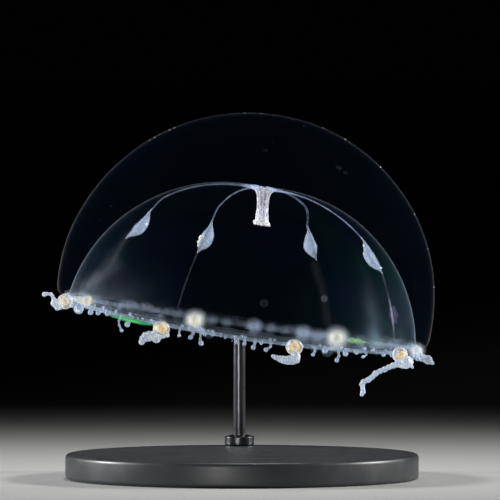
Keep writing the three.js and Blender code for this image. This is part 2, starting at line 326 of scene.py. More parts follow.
def flesh_material(name, roughness, specular, glow, grain=None):
    """Milky flesh. Seen edge on, its density grows by the painted edge, or fades where
    that is below zero, as in a body that is milky all through: softest below -0.9."""
    n = Nodes(name)
    colour, density, edge, normal = painted(n, grain)
    sharp = n.math("MULTIPLY", edge, 10, clamp=True)
    soft = n.math("MULTIPLY", n.math("ADD", edge, 0.9), -20, clamp=True)
    power = n.math("ADD", n.math("SUBTRACT", 1, n.math("MULTIPLY", soft, 0.6)), sharp)
    change = n.math("MULTIPLY_ADD", n.math("POWER", n.facing(), power), edge, 1)
    opacity = n.math("MULTIPLY", density, change, clamp=True)
    return see_through(n, colour, normal, opacity, roughness, specular, glow)


def jelly_material():
    """The bell: a haze, thicker where it is seen edge on, and a fine grainy line along
    each outline, with a colour of its own."""
    n = Nodes("jelly")
    colour, density, edge, _ = painted(n)
    outline, facing = n.attribute("outline"), n.facing()
    beads = n.math("MULTIPLY_ADD", n.noise(2600, 3, 0.7), 3.2, -0.6)
    line = n.math("MULTIPLY", n.math("POWER", facing, outline["Alpha"]), edge)
    line = n.math("MULTIPLY", line, beads, clamp=True)
    depth = n.math("MULTIPLY_ADD", n.math("POWER", facing, 4), 1.6, 1)
    opacity = n.math("ADD", n.math("MULTIPLY", density, depth), line, clamp=True)
    share = n.math("DIVIDE", line, opacity, clamp=True)
    colour = n.mix_colour(share, colour, outline["Color"])
    return see_through(n, colour, None, opacity, 0.3, 0.25, 0.5)


def black_material(name, colour, roughness, specular=0.5):
    """An opaque coat of paint with fine bump and a slight change of tone."""
    n = Nodes(name)
    fine = n.noise(900, 4, 0.6)
    dark, light = [[c * (1 + change) for c in colour] + [1] for change in (-0.2, 0.2)]
    rough = n.math("MULTIPLY_ADD", fine, 0.25, roughness - 0.12)
    look = {"Base_Color": n.mix_colour(fine, dark, light), "Specular_IOR_Level": specular}
    normal = n.bump(fine, 0.05, 0.00002)
    return n.surface(n.add("BsdfPrincipled", Roughness=rough, Normal=normal, **look))


def brushed_steel():
    n = Nodes("brushed_steel")
    place = n.add("TexCoord").outputs["Object"]
    stretch = n.add("Mapping", Vector=place, Scale=(900, 900, 26000))
    lines = n.add("TexNoise", Vector=stretch.outputs[0], Scale=1, Detail=2)
    fine = lines.outputs["Fac"]
    tone = n.mix_colour(fine, (0.06, 0.062, 0.066, 1), (0.1, 0.102, 0.108, 1))
    rough, normal = n.math("MULTIPLY_ADD", fine, 0.2, 0.22), n.bump(fine, 0.15, 0.00001)
    look = {"Base_Color": tone, "Roughness": rough, "Normal": normal}
    return n.surface(n.add("BsdfPrincipled", Metallic=1, **look))


# Paints: red, green, blue, density and edge; three values are a colour alone.
MILK = (0.62, 0.75, 0.98, 0.5, -0.9)
CANAL_BLUE = (0.56, 0.7, 1)
FAINT_CANAL = (0.74, 0.74, 0.78)
VIOLET = (0.78, 0.7, 0.98, 0.22, -0.6)
CORD_PAINT = (0.54, 0.72, 0.95, 0.3, -0.6)
WEB_PAINT = (0.5, 0.66, 0.84, 0.03, 0)
SHELL = (1, 1, 0.98, 0.25, 0.9)
FAR_SHELL = (1, 0.96, 0.82, 1, -0.95)
DIM_SHELL = (0.9, 0.85, 0.78, 0.8, -0.85)
FLESH = (0.76, 0.86, 1, 0.74, -0.35)
BUD = (0.64, 0.78, 0.98, 0.5, -0.6)
FAR_BUD = (0.6, 0.72, 0.95, 0.4, -0.9)
GLOW_WHITE = (0.78, 0.9, 1)
VIOLET_GLOW = (0.66, 0.6, 1, 0.028, -0.9)
# Painted iridescent green sheen on the margin: a green, a brighter green and a paler green.
GREEN_SHEEN = (0.05, 0.5, 0.16, 0.7, -0.9)
BRIGHT_GREEN_SHEEN = (0.3, 0.95, 0.25, 0.8, -1)
PALE_GREEN_SHEEN = (0.3, 0.62, 0.24, 0.5, -0.9)
BRIGHT = (0.95, 0.98, 1, 1, 0)
IVORY = (1, 0.95, 0.78, 1, 0)
OCHRE = (1, 0.72, 0.28, 1, -0.8)
CREAM = (1, 0.86, 0.58, 1, -0.75)
SPECK = (0.85, 0.84, 0.8, 0.6, 0)
FAINT_SPECK = (0.6, 0.66, 0.75, 0.16, -0.6)


def thinned(paint, density, edge=None):
    """A paint with another density, and another edge where one is given."""
    return (*paint[:3], density, paint[4] if edge is None else edge)


# ---- the bell ----

BELL_TURNS = 200
BELL_ROWS = 70
RIM_STEPS = 16
RIM_DEPTH = 0.52  # of the rim, below where its rounding starts
# The milky streak on the wall at the left: its angle round the axis at each height.
LEFT_STREAK = [(0.8, 204), (1.3, 208), (2, 213), (2.8, 212)]


def jelly_paint(point, inner):
    """A point's paint, and its outline's colour and sharpness. The jelly is almost clear,
    with clouds of green, blue and violet on the cavity's wall and a milky veil low down at
    its sides. Outside, the outline is warmer near the margin."""
    height = max(0, point.z)
    cloud = 0.5 + 0.5 * waves(point, 4, 3)
    rim = min(1, max(0, point.z + 0.1) * 2)
    if not inner:
        low = exp(-height / 5)
        outline = blend((0.6, 0.7, 0.9), (1, 0.8, 0.66), low)
        bright = lerp(0.075, 0.15, low) * rim
        return (0.2, 0.5, 1, 0.001 + 0.0007 * cloud, bright), (*outline, 24)
    turn = turn_of(point)
    left, right = spot_share(turn, 180, 48), spot_share(turn, 0, 46)
    streak = spot_share(turn, float(np.interp(height, *zip(*LEFT_STREAK))), 5.5)
    hue = waves(point, 3.2, 21)
    green, violet = max(0, hue), max(0, -hue)
    tint = (0.06 + 0.5 * violet, 0.48 + 0.6 * green - 0.35 * violet, 0.85 - 0.5 * green + violet)
    wisp = 0.5 + 0.8 * waves(point, 1.3, 8) + 0.5 * waves(point, 0.5, 5)
    torn = 0.5 + max(0, wisp)
    mist = exp(-height / 1.1) * max(0.05, wisp)
    veil = left * (0.9 * mist + 0.035 * hump(height, 3, 2.6))
    veil += right * (0.55 * mist + 0.18 * hump(height, 2.5, 2.5))
    veil += 1.6 * streak * hump(height, 0, 2.1) * torn
    veil += 2.8 * spot_share(turn, 41, 3.4) * exp(-height / 1.3) * torn
    veil += 0.8 * spot_share(turn, 222, 13) * exp(-height / 0.8)
    veil += 0.8 * spot_share(turn, 38, 12) * exp(-height / 0.9)
    milk = blend((0.48, 0.73, 0.92), (0.74, 0.82, 1), left)
    upper = min(1, height / 6)
    density = 0.0008 + 0.0021 * cloud * (green + violet) + 0.05 * veil
    paint = (*blend(tint, milk, min(1, 4 * veil)), density, lerp(0.32, 0.15, upper) * rim)
    return paint, (*blend((0.6, 0.82, 0.95), (0.66, 0.76, 1), upper), 21)


def meridian(surface, start, end, inner):
    """Radius and height along a surface, and whether it is the cavity's wall."""
    rows = []
    for i in range(BELL_ROWS + 1):
        angle = lerp(start, end, i / BELL_ROWS)
        rows.append((surface(angle) * cos(angle), surface(angle) * sin(angle), inner))
    return rows


def bell_profile():
    """The meridian down the cavity's wall, round the rim and up the outer surface."""
    lowest = asin(RIM_TOP / MARGIN_RADIUS)
    rows = meridian(cavity_reach, pi / 2, lowest, True)
    inner, outer = rows[-1][0], outer_reach(lowest) * cos(lowest)
    for i in range(1, RIM_STEPS):
        share = i / RIM_STEPS
        drop = (1 - abs(2 * share - 1) ** 3.5) ** 0.75
        rows.append((lerp(inner, outer, share), RIM_TOP - RIM_DEPTH * drop, share < 0.5))
    return rows + meridian(outer_reach, lowest, pi / 2, False)


def make_bell():
    rows = bell_profile()
    points, paints, outlines = [], [], []
    for radius, height, inner in rows:
        for c in range(BELL_TURNS):
            plain = around(360 * c / BELL_TURNS, max(radius, 1e-4), height)
            ripple = 0.03 * waves(plain, 3, 1) + 0.05 * waves(plain, 8, 7)
            swell = plain.normalized() * min(0, ripple - 0.03)
            point = soften(plain + (swell if not inner else -swell * 0.3))
            paint, outline = jelly_paint(point, inner)
            points.append(point)
            paints.append(paint)
            outlines.append(outline)
    mesh = new_mesh("bell_skin", points, grid_faces(len(rows), BELL_TURNS))
    paint_points(mesh, paints)
    store(mesh, "outline", outlines)
    finish_animal(weld(mesh, 0.002), jelly_material(), ["bell"])


# Bright grains on the bell's outer surface: angle round the axis, elevation and size.
NAMED_SPECKS = [
    (180, 54, 0.035), (181, 55.5, 0.045), (180, 57, 0.03), (179, 60, 0.045), (181, 61.5, 0.035),
    (180, 81, 0.035), (182, 85.6, 0.035), (0, 77, 0.03), (2, 70, 0.04), (0, 57.4, 0.045),
    (358, 40.7, 0.04), (1, 30, 0.03), (0, 18.5, 0.035),
]
STREWN_SPECKS = 70
# Soft pale spots deeper in the jelly: angle, elevation, depth, size and density.
SOFT_SPOTS = [
    (95, 70, 1.5, 0.15, 0.005), (42, 61, 1, 0.2, 0.006), (39, 59, 1, 0.15, 0.006),
    (84, 9.8, 1.2, 0.25, 0.011), (63.5, 13.6, 1.2, 0.21, 0.04),
]


def make_specks():
    chance = random.Random(11)
    spots = [(turn, rise, 0.05, size, SPECK) for turn, rise, size in NAMED_SPECKS]
    for _ in range(STREWN_SPECKS):
        rise = degrees(asin(chance.uniform(0.03, 0.97)))
        size = 0.012 + 0.018 * chance.random() ** 3
        spots.append((chance.uniform(0, 360), rise, 0.05, size, FAINT_SPECK))
    for turn, rise, depth, size, density in SOFT_SPOTS:
        spots.append((turn, rise, depth, size, thinned(FAINT_SPECK, density, 0.3)))
    clay = Clay()
    for turn, rise, depth, size, paint in spots:
        centre = inside(outer_reach, turn, rise, depth)
        turned = centre.to_track_quat("Z", "Y").to_matrix().to_4x4()
        clay.ball(centre, size, paint, stretch=turned @ Matrix.Diagonal((1, 1, 0.6, 1)))
    finish_animal(clay.plain("bell_specks"), flesh_material("speck", 0.5, 0.3, 0.4), [])


# ---- the velum ----


def make_velum():
    """A thin veil with fine rings and folds, thickest where it joins the margin."""
    turns, steps, thickness = 240, 26, 0.05
    points, colours = [], []
    for side in (1, -1):
        for i in range(steps + 1):
            share = i / steps if side == 1 else 1 - i / steps
            radius = lerp(VELUM_OUTER, VELUM_INNER, share)
            level = CORD_LEVEL + 0.12 - VELUM_SAG * sin(share * pi / 2)
            for c in range(turns):
                plain = around(360 * c / turns, radius, level)
                fold = 0.05 * share * waves(plain, 1.6, 5)
                plain.z += fold + side * thickness / 2
                points.append(soften(plain))
                rings = 0.85 + 0.15 * cos(2 * pi * share * 7 + waves(plain, 2, 2))
                density = 0.002 + 0.006 * (1 - share) ** 2 * rings
                colours.append((0.45, 0.62, 0.8, density, 1))
    faces = grid_faces(2 * (steps + 1), turns)
    last = (2 * steps + 1) * turns
    faces += [(last + c, last + (c + 1) % turns, (c + 1) % turns, c) for c in range(turns)]
    mesh = new_mesh("velum_skin", points, faces)
    paint_points(mesh, colours)
    finish_animal(weld(mesh, 1e-5), flesh_material("veil", 0.35, 0.2, 0.5), ["velum"])


# ---- the flesh: one skin made of merged balls and tubes ----


def ball_template(subdivisions):
    """The points and triangles of a ball of radius 1."""
    bm = bmesh.new()
    bmesh.ops.create_icosphere(bm, subdivisions=subdivisions, radius=1)
    points = np.array([v.co[:] for v in bm.verts])
    faces = np.array([[v.index for v in f.verts] for f in bm.faces])
    bm.free()
    return points, faces


BALLS = {"fine": ball_template(3), "small": ball_template(2)}


class Clay:
    """Balls and tubes, kept as they are or merged into one skin, whose points take their
    paint and grain from the shapes' nearest points."""

    def __init__(self):
        self.points, self.faces, self.paints = [], [], []
        self.count = 0

    def add(self, points, faces, paints):
        """Points and triangles, with one paint and grain for all or one for each point."""
        paints = np.broadcast_to(np.array(paints, dtype=float), (len(points), 6))
        self.points.append(np.asarray(points))
        self.faces.append(np.asarray(faces) + self.count)
        self.paints.append(paints)
        self.count += len(points)

    def ball(self, place, radius, paint, grain=0, stretch=None):
        points, faces = BALLS["fine" if radius > 0.14 else "small"]
        points = points * radius
        if stretch:
            points = points @ np.array(stretch.to_3x3()).T
        self.add(points + np.array(place), faces, (*paint, grain))

    def lump(self, chance, place, radius, paint, grains, size):
        """A ball with small grains strewn over it, one in five of them bright."""
        self.ball(place, radius, paint, 0.02)
        for _ in range(grains):
            spot = place + random_way(chance) * radius * 0.85
            bright = BRIGHT if chance.random() < 0.2 else paint
            self.ball(spot, radius * chance.uniform(*size), bright, 0.015)

    def tube(self, places, radii, paint, grain=0, sides=10, flat=None):
        """A closed tube; flat holds a direction for each place and a share to which the
        tube is flattened that way."""
        points, paints, across = [], [], None
        for i, place in enumerate(places):
            ahead = places[min(i + 1, len(places) - 1)] - places[max(i - 1, 0)]
            ahead.normalize()
            across = across or ahead.orthogonal()
            across = (across - ahead * across.dot(ahead)).normalized()
            over = ahead.cross(across)
            colour = (*(paint[i] if isinstance(paint, list) else paint), grain)
            for s in range(sides):
                angle = 2 * pi * s / sides
                offset = (across * cos(angle) + over * sin(angle)) * radii[i]
                if flat:
                    way = flat[0][i]
                    offset -= way * offset.dot(way) * (1 - flat[1])
                points.append(place + offset)
                paints.append(colour)
        self.add(np.array(points), closed_grid(len(places), sides), paints)

    def mesh(self, name):
        """The shapes as they are."""
        return new_mesh(name, np.vstack(self.points), np.vstack(self.faces))

    def plain(self, name):
        """The shapes as they are, with their paint."""
        mesh = self.mesh(name)
        paint_points(mesh, np.vstack(self.paints))
        return mesh

    def fired(self, name, voxel, smoothing):
        """The shapes merged into one skin, painted and with its grain raised."""
        obj = link(name + "_clay", self.mesh(name + "_clay"))
        remesh = obj.modifiers.new("merge", "REMESH")
        remesh.mode, remesh.voxel_size = "VOXEL", voxel
        smooth = obj.modifiers.new("smooth", "SMOOTH")
        smooth.factor, smooth.iterations = 0.5, smoothing
        graph = bpy.context.evaluated_depsgraph_get()
        made = bpy.data.meshes.new_from_object(obj.evaluated_get(graph))
        made.name = name
        bpy.data.objects.remove(obj)
        self.paint(made)
        return made

    def paint(self, mesh):
        points, paints = np.vstack(self.points), np.vstack(self.paints)
        tree = kdtree.KDTree(len(points))
        for i, point in enumerate(points):
            tree.insert(point, i)
        tree.balance()
        mesh.update()
        colours, normals = [], [v.normal.copy() for v in mesh.vertices]
        for vertex, normal in zip(mesh.vertices, normals):
            found = tree.find_n(vertex.co, 4)
            weights = np.array([1 / (distance**2 + 4e-4) for _, _, distance in found])
            mixed = weights @ paints[[index for _, index, _ in found]] / weights.sum()
            colours.append(mixed)
            if mixed[5] > 0:
                grain = waves(vertex.co, 0.16, 4) + 0.5 * waves(vertex.co, 0.08, 9)
                vertex.co += normal * mixed[5] * grain
        paint_points(mesh, colours)


def closed_grid(rows, columns):
    """Triangles of a tube of rows of points, with a fan across each end."""
    faces = []
    for a, b, c, d in grid_faces(rows, columns):
        faces += [(a, b, c), (a, c, d)]
    last = (rows - 1) * columns
    for c in range(1, columns - 1):
        faces += [(0, c + 1, c), (last, last + c, last + c + 1)]
    return faces


def random_way(chance):
    return Vector([chance.gauss(0, 1) for _ in range(3)]).normalized()


def curve_points(points, spacing):
    """Points along a smooth curve through the given ones, about evenly spaced."""
    ends = [points[0] * 2 - points[1], *points, points[-1] * 2 - points[-2]]
    made = []
    for a, b, c, d in zip(ends, ends[1:], ends[2:], ends[3:]):
        steps = max(1, round((c - b).length / spacing))
        for i in range(steps):
            t = i / steps
            point = 2 * b + (c - a) * t + (2 * a - 5 * b + 4 * c - d) * t**2
            made.append(0.5 * (point + (3 * b - a - 3 * c + d) * t**3))
    made.append(points[-1].copy())
    return made


# ---- manubrium ----

STALK_TOP = Vector((0, 0, CAVITY_HEIGHT - 0.06))
STALK_WAY = Vector((sin(BANK) - 0.04, 0, -cos(BANK))) * STALK_LENGTH * 0.92
LIP_PHASE = radians(CANAL_ANGLES[0])


def stalk_radius(share):
    root = (ROOT_RADIUS - NECK_RADIUS) * exp(-share / 0.1)
    mouth = (MOUTH_RADIUS - NECK_RADIUS - 0.04) * max(0, (share - 0.5) / 0.5) ** 1.5
    return NECK_RADIUS + root + mouth


def stalk_spot(share, angle, size):
    return soften(STALK_TOP + STALK_WAY * share + Vector((cos(angle), -sin(angle), 0)) * size)


def add_manubrium(clay):
    """A four-cornered stalk with pleats along it, open below between four frilled lips."""
    steps, turns, wall = 48, 72, 0.12
    rows = [(i / steps, 0) for i in range(steps + 1)]
    rows += [(1 - i / steps, wall) for i in range(1, round(steps * 0.55))]
    points, paints = [], []
    for share, depth in rows:
        flare = max(0, (share - 0.72) / 0.28)
        for c in range(turns):
            angle = 2 * pi * c / turns
            lobe = cos(4 * (angle + LIP_PHASE))
            pleat = cos(12 * angle + 0.8 * sin(5 * share))
            size = stalk_radius(share) * (1 + (0.04 + 0.06 * flare) * lobe + 0.05 * pleat) - 0.06
            frill = 0.012 * flare * cos(20 * angle)
            points.append(stalk_spot(share + frill, angle, max(0.06, size - depth)))
            ridge = max(0, pleat) ** 2
            top = exp(-share / 0.08)
            density = min(1, 0.24 + 0.4 * ridge + 0.9 * flare**1.5 + 0.3 * top)
            light = 0.8 + 0.2 * max(flare, ridge)
            lilac = lerp(0.9, 1, flare)
            paints.append((lilac * light, lilac * light, light, density, 0.6, 0.012))
    clay.add(points, closed_grid(len(rows), turns), paints)
    crown = Matrix.Diagonal((1, 1, 0.25, 1))
    clay.ball(STALK_TOP - Vector((0, 0, 0.08)), 0.6, (0.85, 0.88, 1, 0.4, -0.6), 0, crown)
    chance = random.Random(5)
    for i in range(48):
        angle = 2 * pi * i / 48 + chance.uniform(-0.05, 0.05)
        size = stalk_radius(1) * (1 + 0.1 * cos(4 * (angle + LIP_PHASE)))
        spot = stalk_spot(chance.uniform(0.93, 1.01), angle, size - 0.05)
        clay.ball(spot, chance.uniform(0.06, 0.09), BRIGHT, 0.01)
    for _ in range(46):
        angle, share = chance.uniform(0, 2 * pi), chance.uniform(0.05, 0.95)
        spot = stalk_spot(share, angle, stalk_radius(share) - 0.05)
        clay.ball(spot, chance.uniform(0.025, 0.04), BRIGHT)


# ---- canals and gonads ----

CANAL_OFF = 0.12  # of the wall
CANAL_TOP, CANAL_FOOT = 87.5, 1.5  # elevations
GONAD_SEEN = GONAD_LENGTH + 0.45  # with the tapers at its ends
GONAD_FULL, GONAD_END = 0.45, 0.05  # radii
# About how far the wall is, low down and at the gonads, and there from the bell's axis.
LOW_WALL, GONAD_WALL, GONAD_RING = 10.9, 10.2, 8.5
# Each canal: the radius and density above its gonad, and the same below it.
CANALS = [
    (0.046, 0.2, 0.06, 0.06), (0.056, 0.14, 0.055, 0.035), (0.055, 0.1, 0.06, 0.008),
    (0.075, 0.09, 0.06, 0.004),
]
# The soft bands along the lower part of the canals further back: their radius, density and
# way off the wall.
FAR_BANDS = {3: (0.4, 0.013, 0.1), 4: (0.46, 0.006, 0.55)}
# The nested tubes of a band: the share of its radius and of its density.
BAND = [(1, 0.12), (0.8, 0.25), (0.6, 0.4), (0.4, 0.6), (0.2, 0.6)]
# How far each canal strays sideways, in degrees, at each elevation.
CANAL_STRAYS = [
    [(0, 0), (20, 0), (30, -2), (40, -2), (60, 0), (90, 0)],
    [(0, 0), (36, 0), (48, 2.5), (60, 2.5), (90, 0)],
    [(0, -3), (7, 0), (11, 3.5), (16, 3.5), (34, 1.5), (40, -2), (47, -10), (60, -15), (90, -15)],
    [(0, 4.5), (12, 2.5), (28, -2), (42, -2.5), (56, 5), (90, 6.5)],
]
GONAD_RISES = [0.42, 0.2, 0, 0.36]  # of each gonad above its place in the solids
# Bright grains on each gonad: the way along it, and in millimetres the way round, the way
# off the wall and the size.
GONAD_GRAINS = [
    [(-0.3, 0.1, 0.3, 0.04), (-0.1, 0.2, 0.56, 0.06), (-0.02, 0.2, 0.6, 0.04),
     (0.36, -0.12, 0.12, 0.06)],
    [(0.09, 0.25, 0.14, 0.14), (0.21, 0.28, 0.14, 0.08), (0.31, 0.2, 0.12, 0.05)],
    [(-0.12, -0.1, 0.6, 0.05)],
    [],
]


def canal_turn(number, rise):
    """A canal's angle round the axis at an elevation."""
    stray = float(np.interp(rise, *zip(*CANAL_STRAYS[number - 1])))
    return CANAL_ANGLES[number - 1] + (stray + 0.5 * sin(radians(rise) * 5 + number))


def add_canal(clay, number):
    """Bright above the gonad and faint and spread out below it."""
    upper, bright, lower, faint = CANALS[number - 1]
    places, radii, paints = [], [], []
    for i in range(181):
        rise = lerp(CANAL_TOP, CANAL_FOOT, i / 180)
        place = on_wall(canal_turn(number, rise), rise, CANAL_OFF)
        spread = hypot(place.x, place.y)
        flare = 0.12 * exp(-max(0, spread - 0.5) / 0.6)
        fade = 1 / (1 + exp(-3 * (place.z - GONAD_HEIGHT)))
        places.append(place)
        radii.append((lerp(lower, upper, fade) + flare) * (1 + 0.2 * waves(place, 0.5, number)))
        patchy = 1 + 0.7 * waves(place, 0.6, 3 * number)
        density = (lerp(faint, bright, fade) + 0.5 * exp(-max(0, spread - 0.6) / 0.5)) * patchy
        paint = (*blend(FAINT_CANAL, CANAL_BLUE, fade), density, lerp(-1, -0.6, fade))
        paints.append(blend(paint, VIOLET, hump(place.z, 2, 0.7) if number == 1 else 0))
    clay.tube(places, radii, paints, 0.005)


def add_bands(clay):
    for number, (radius, density, off) in FAR_BANDS.items():
        places, radii = [], []
        for i in range(61):
            rise = lerp(26.5, CANAL_FOOT, i / 60)
            place = on_wall(canal_turn(number, rise), rise, off)
            swell = min(1, 0.3 + i / 7) * (1 + 0.25 * waves(place, 0.9, number))
            places.append(place)
            radii.append(radius * swell)
        for share, weight in BAND:
            paint = (*FAINT_CANAL, density * weight, -1)
            clay.tube(places, [size * share for size in radii], paint, sides=24)


def add_gonad(clay, number):
    """A spindle on the canal, fullest below its middle, and a little bumpy."""
    height = GONAD_HEIGHT + GONAD_RISES[number - 1]
    reach = cavity_reach(asin(height / GONAD_WALL))
    middle, half = degrees(asin(height / reach)), degrees(GONAD_SEEN / 2 / reach)
    places, radii, ways, paints = [], [], [], []
    for i in range(47):
        share = i / 46
        rise = middle + half - 2 * half * share
        size = GONAD_END + (GONAD_FULL - GONAD_END) * sin(pi * share**1.2) ** 1.5
        places.append(on_wall(canal_turn(number, rise), rise, 0.08 + size * 0.75))
        radii.append(size * (1 + 0.03 * sin(17 * share + number)))
        ways.append(places[-1].normalized())
        streaks = 0.75 + 0.25 * sin(pi * share) + 0.12 * sin(23 * share + number * 2)
        paints.append(thinned(MILK, MILK[3] * streaks))
    clay.tube(places, radii, paints, 0.02, sides=18, flat=(ways, 0.75))
    chance = random.Random(60 + number)
    paint = IVORY if number == 2 else BRIGHT
    for along, aside, off, size in GONAD_GRAINS[number - 1]:
        turn = canal_turn(number, middle) + degrees(aside / GONAD_RING)
        clay.lump(chance, on_wall(turn, middle - along * 2 * half, off), size, paint, 3, (0.4, 0.6))


# ---- the margin ----

# Cirri and young bulbs on the margin: angle, length down, size and swing along the margin.
CIRRI = [
    (38.4, 0.1, 0.15, 0), (46.5, 0.3, 0.13, 0.25), (50.7, 0.06, 0.15, 0), (54.9, 0.18, 0.19, 0),
    (57.4, 0.62, 0.16, 0.08), (62.5, 0.11, 0.19, 0), (65.9, 0.42, 0.14, 0.1),
    (80.4, 0.46, 0.16, 0.25), (83.4, 0.08, 0.13, 0), (85.4, 0.43, 0.17, 0.05),
    (88.6, 0.27, 0.15, 0), (91.5, 0.25, 0.14, -0.08), (98.8, 0.04, 0.13, 0),
    (102.4, 0.66, 0.18, -0.1), (104.8, 0.42, 0.17, 0.12), (109.2, 0.44, 0.14, 0),
    (127, 0.42, 0.19, 0.2), (131.4, 0.86, 0.13, -0.3), (137, 0.05, 0.17, 0), (141.5, 0.14, 0.17, 0),
    (145.5, 0.22, 0.2, 0), (153.2, 0.23, 0.36, 0), (159, 0.15, 0.16, 0), (178.5, 0.5, 0.24, 0),
    (184, 0.2, 0.16, 0), (189, 0.3, 0.18, 0.1), (194, 0.1, 0.14, 0), (199.5, 0.3, 0.2, 0),
    (218, 0.3, 0.18, 0), (222, 0.05, 0.14, 0), (226, 0.2, 0.22, 0.1), (230.5, 0.1, 0.15, 0),
    (234.5, 0.4, 0.17, -0.15), (239, 0.1, 0.14, 0), (243, 0.22, 0.22, 0), (248, 0.12, 0.16, 0),
    (260.6, 0, 0.26, 0), (265.5, 0, 0.24, 0), (274.4, 0, 0.36, 0), (280, -0.04, 0.27, 0),
    (284.6, 0, 0.22, 0), (291, 0, 0.38, 0), (296.2, 0.08, 0.34, 0), (309, 0.1, 0.16, 0),
    (313, 0.22, 0.2, 0), (319, 0.35, 0.2, 0.15), (323, 0.05, 0.14, 0), (327.5, 0.18, 0.18, 0),
    (332, 0.1, 0.15, 0), (337, 0.36, 0.2, -0.1), (342, 0.1, 0.16, 0), (356, 0.1, 0.15, 0),
    (0.5, 0.25, 0.22, 0), (5, 0.1, 0.15, 0), (10, 0.35, 0.18, 0.15), (15, 0.08, 0.15, 0),
    (19, 0.22, 0.22, 0), (34, 0.1, 0.14, 0),
]
CORD_LINE = CORD_LEVEL - 0.16  # the cord's own line is below the solid's


def on_far_side(turn):
    return 195 < turn < 345


def add_chain(clay, chance, places, radii, paint):
    """A knobbly strand: touching balls along a line, each a little off it."""
    for place, radius in zip(places, radii):
        spot = place + random_way(chance) * radius * 0.25
        clay.ball(spot, radius * chance.uniform(0.8, 1.15), paint, 0.02)


def add_cirrus(clay, chance, turn, length, size, swing):
    """A bud on the cord or, where it is longer, a knobbly stalk with a club at its end."""
    tip = turn + degrees(swing / CORD_RING)
    middle = on_cord(turn, CORD_LINE - length * 0.5, 0.1)
    points = [on_cord(turn, CORD_LINE), middle, on_cord(tip, CORD_LINE - length, 0.08)]
    stalk = curve_points(points, 0.08)
    thin = min(size * 0.55, 0.09)
    if on_far_side(turn):
        clay.ball(stalk[-1], size * 0.5, thinned(FAR_BUD, 0.5 * size))
        return
    add_chain(clay, chance, stalk[:-1], [thin] * len(stalk), thinned(BUD, 0.4))
    clay.lump(chance, stalk[-1], size * 0.9, BUD, 3, (0.25, 0.4))


BACK_TURN = 271  # where the margin is clearest


def ring_tube(clay, radius, level, thickness, paint, grain=0, thin=1, patches=0.5):
    """A ring round the margin, flattened to a share of its thickness across, its density
    changing in patches and lower at the back."""
    count = round(2 * pi * radius / 0.12)
    places = [soften(around(360 * i / count, radius, level)) for i in range(count)]
    places.append(places[0].copy())
    radii = [thickness * (1 + 0.25 * waves(p, 0.7, radius)) for p in places]
    ways = [Vector((p.x, p.y, 0)).normalized() for p in places]
    paints = []
    for place in places:
        share = max(0.15, 1 + 2 * patches * waves(place, 1.1, radius + 3 * level))
        share *= 1 - 0.85 * min(1, 1.5 * spot_share(turn_of(place), BACK_TURN, 60))
        paints.append(thinned(paint, paint[3] * share))
    clay.tube(places, radii, paints, grain, flat=(ways, thin))


def add_margin(clay):
    """The cord, the web that joins it to the bell, grains strewn along the near side of
    the cord, and the cirri."""
    ring_tube(clay, CORD_RING, CORD_LINE, 0.085, CORD_PAINT, 0.02)
    ring_tube(clay, CORD_RING - 0.05, CORD_LINE + 0.26, 0.3, WEB_PAINT, 0.01, 0.15, 0.9)
    chance = random.Random(23)
    for _ in range(150):
        turn, away = chance.uniform(-15, 195), chance.uniform(-0.1, 0.08)
        spot = on_cord(turn, CORD_LINE + chance.gauss(0.06, 0.1), away)
        clay.ball(spot, 0.025 + 0.04 * chance.random() ** 2, thinned(BUD, 0.45), 0.01)
    for turn, length, size, swing in CIRRI:
        add_cirrus(clay, chance, turn, length, size, swing)


# Fine lines round the margin: radius, height, thickness and density.
MARGIN_LINES = [
    (11.36, -0.28, 0.015, 0.07), (11.34, -0.1, 0.015, 0.05), (VELUM_INNER, -0.47, 0.014, 0.03),
]
# Soft haze on the margin: angle, height, size and density.
MARGIN_HAZE = [
    (99.7, -0.42, 0.36, 0.05), (92, -0.4, 0.22, 0.05), (61.5, -0.5, 0.42, 0.09),
    (66, -0.42, 0.3, 0.07), (50, -0.2, 0.4, 0.05), (42, -0.12, 0.46, 0.07), (36, -0.05, 0.42, 0.07),
    (231, -0.3, 0.42, 0.08), (325, -0.2, 0.42, 0.06), (334, -0.2, 0.42, 0.06),
    (147, -0.2, 0.34, 0.07), (138, -0.16, 0.36, 0.06), (122, -0.12, 0.3, 0.05),
]
# Patches of painted iridescent green sheen on the margin: the middle and half the width in
# degrees, the height and the thickness.
GREEN_SHEEN_PATCHES = [(127, 9, -0.54, 0.13), (310.9, 4.4, -0.42, 0.19)]
# A soft glow is made of balls inside each other: the share of its size and the density.
GLOW = [(1, 0.025), (0.82, 0.06), (0.64, 0.09), (0.45, 0.11)]
BULB_GLOW = [(1, 0.04), (0.86, 0.07), (0.75, 0.11), (0.64, 0.22), (0.5, 0.36)]
# How far right and up each bulb sits from its place in the solids.
BULB_SHIFTS = [
    (-0.12, -0.03), (0.1, -0.03), (0.2, -0.2), (0.12, 0),
    (0.05, 0), (0, -0.12), (0.1, 0.03), (-0.1, 0),
]
# The bulbs further back look smooth and soft: their core's size, their paint, and how far
# their glow reaches.
FAR_BULBS = {
    5: (0.32, (1, 0.88, 0.62, 0.9, -0.9), 0.62),
    6: (0.34, FAR_SHELL, 0.88),
    7: (0.4, FAR_SHELL, 0.98),
    8: (0.36, DIM_SHELL, 0.62),
}


def add_glows(clay):
    """The soft shells round the far bulbs and cirri, and the haze on the margin."""
    for number, (_, shell, size) in FAR_BULBS.items():
        for i, (share, density) in enumerate(BULB_GLOW):
            colour = blend(GLOW_WHITE, shell, i / (len(BULB_GLOW) - 1))
            clay.ball(bulb_centre(number), size * share, (*colour, density * shell[3], -0.9))
    for turn, length, size, _ in CIRRI:
        if on_far_side(turn):
            strength = min(1.1, (size / 0.36) ** 3.5)
            for share, density in GLOW:
                paint = thinned(FAR_BUD, density * strength)
                clay.ball(on_cord(turn, CORD_LINE - length), size * 1.9 * share, paint)
    for turn, level, size, density in MARGIN_HAZE:
        clay.ball(on_cord(turn, level), size, thinned(FAR_BUD, density, -1))


